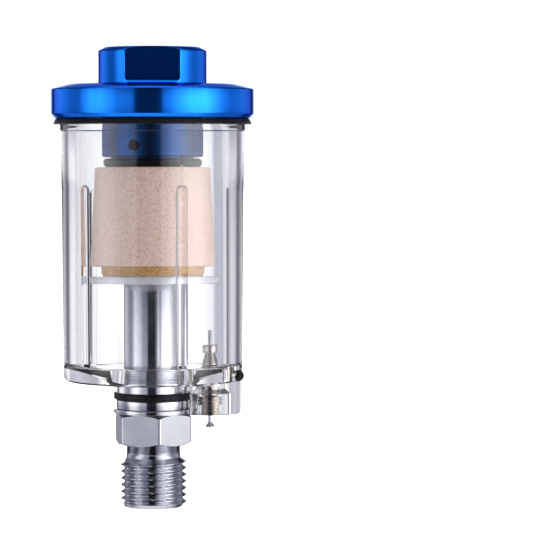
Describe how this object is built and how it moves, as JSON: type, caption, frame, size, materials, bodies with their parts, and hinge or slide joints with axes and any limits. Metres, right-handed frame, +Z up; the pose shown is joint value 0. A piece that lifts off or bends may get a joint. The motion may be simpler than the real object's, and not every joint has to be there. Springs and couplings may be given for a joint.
{
  "type": "in-line air filter and moisture trap",
  "caption": "Small in-line air filter and moisture trap: blue threaded head, clear bowl with a filter inside, press-to-drain valve below, threaded outlet at the bottom.",
  "frame": {"origin": "on the common axis of the two ports, at the free end of the outlet thread, the lowest point", "axes": "+Z runs up the port axis from the outlet thread to the inlet port, +X points to the side with the drain valve, -Y is the front"},
  "size_m": [0.04, 0.04, 0.0909],
  "materials": {
    "blue_anodised": "bright blue anodised, turned",
    "plated_metal": "bright plated, turned",
    "clear_plastic": "clear moulded plastic",
    "black_rubber": "matt black rubber",
    "frosted_metal": "fine satin",
    "fibre": "pressed fibre washer",
    "sintered_bronze": "sintered grains, porous",
    "pale_plastic": "matt pale beige",
    "brass": "turned brass",
    "white_seal": "moulded seal",
    "spring_steel": "drawn wire"
  },
  "bodies": {
    "head": {"head_cap": "blue_anodised", "stem_o_ring": "black_rubber"},
    "bowl_body": {"bowl": "clear_plastic", "bowl_gasket": "black_rubber", "side_port_ball": "black_rubber", "valve_plug": "brass", "valve_barrel": "brass", "valve_core_seal": "white_seal", "valve_spring": "spring_steel"},
    "stem": {"outlet_stem": "plated_metal", "collar_ring": "plated_metal", "hub_washer": "black_rubber", "baffle_plate": "frosted_metal", "filter_bottom_washer": "fibre", "filter_element": "sintered_bronze", "filter_top_washer": "fibre", "filter_shroud": "pale_plastic"},
    "drain_pin": {"valve_pin": "plated_metal", "valve_poppet": "brass", "poppet_seal": "black_rubber"}
  },
  "joints": [
    {"name": "bowl_slide", "type": "slide", "parent": "head", "child": "bowl_body", "axis": [0, 0, -1], "range_m": [0, 0.0084]},
    {"name": "stem_turn", "type": "hinge", "parent": "bowl_body", "child": "stem", "pos_m": [0, 0, 0.015], "axis": [0, 0, -1], "range_deg": [0, 3024]},
    {"name": "drain_pin_press", "type": "slide", "parent": "bowl_body", "child": "drain_pin", "axis": [0, 0, 1], "range_m": [0, 0.0016], "stiffness_N_per_m": 400, "springref_m": -0.001, "deforming": ["valve_spring"]}
  ],
  "couplings": [
    {"joint": "stem_turn", "follows": "bowl_slide", "rad_per_m": 6283}
  ]
}
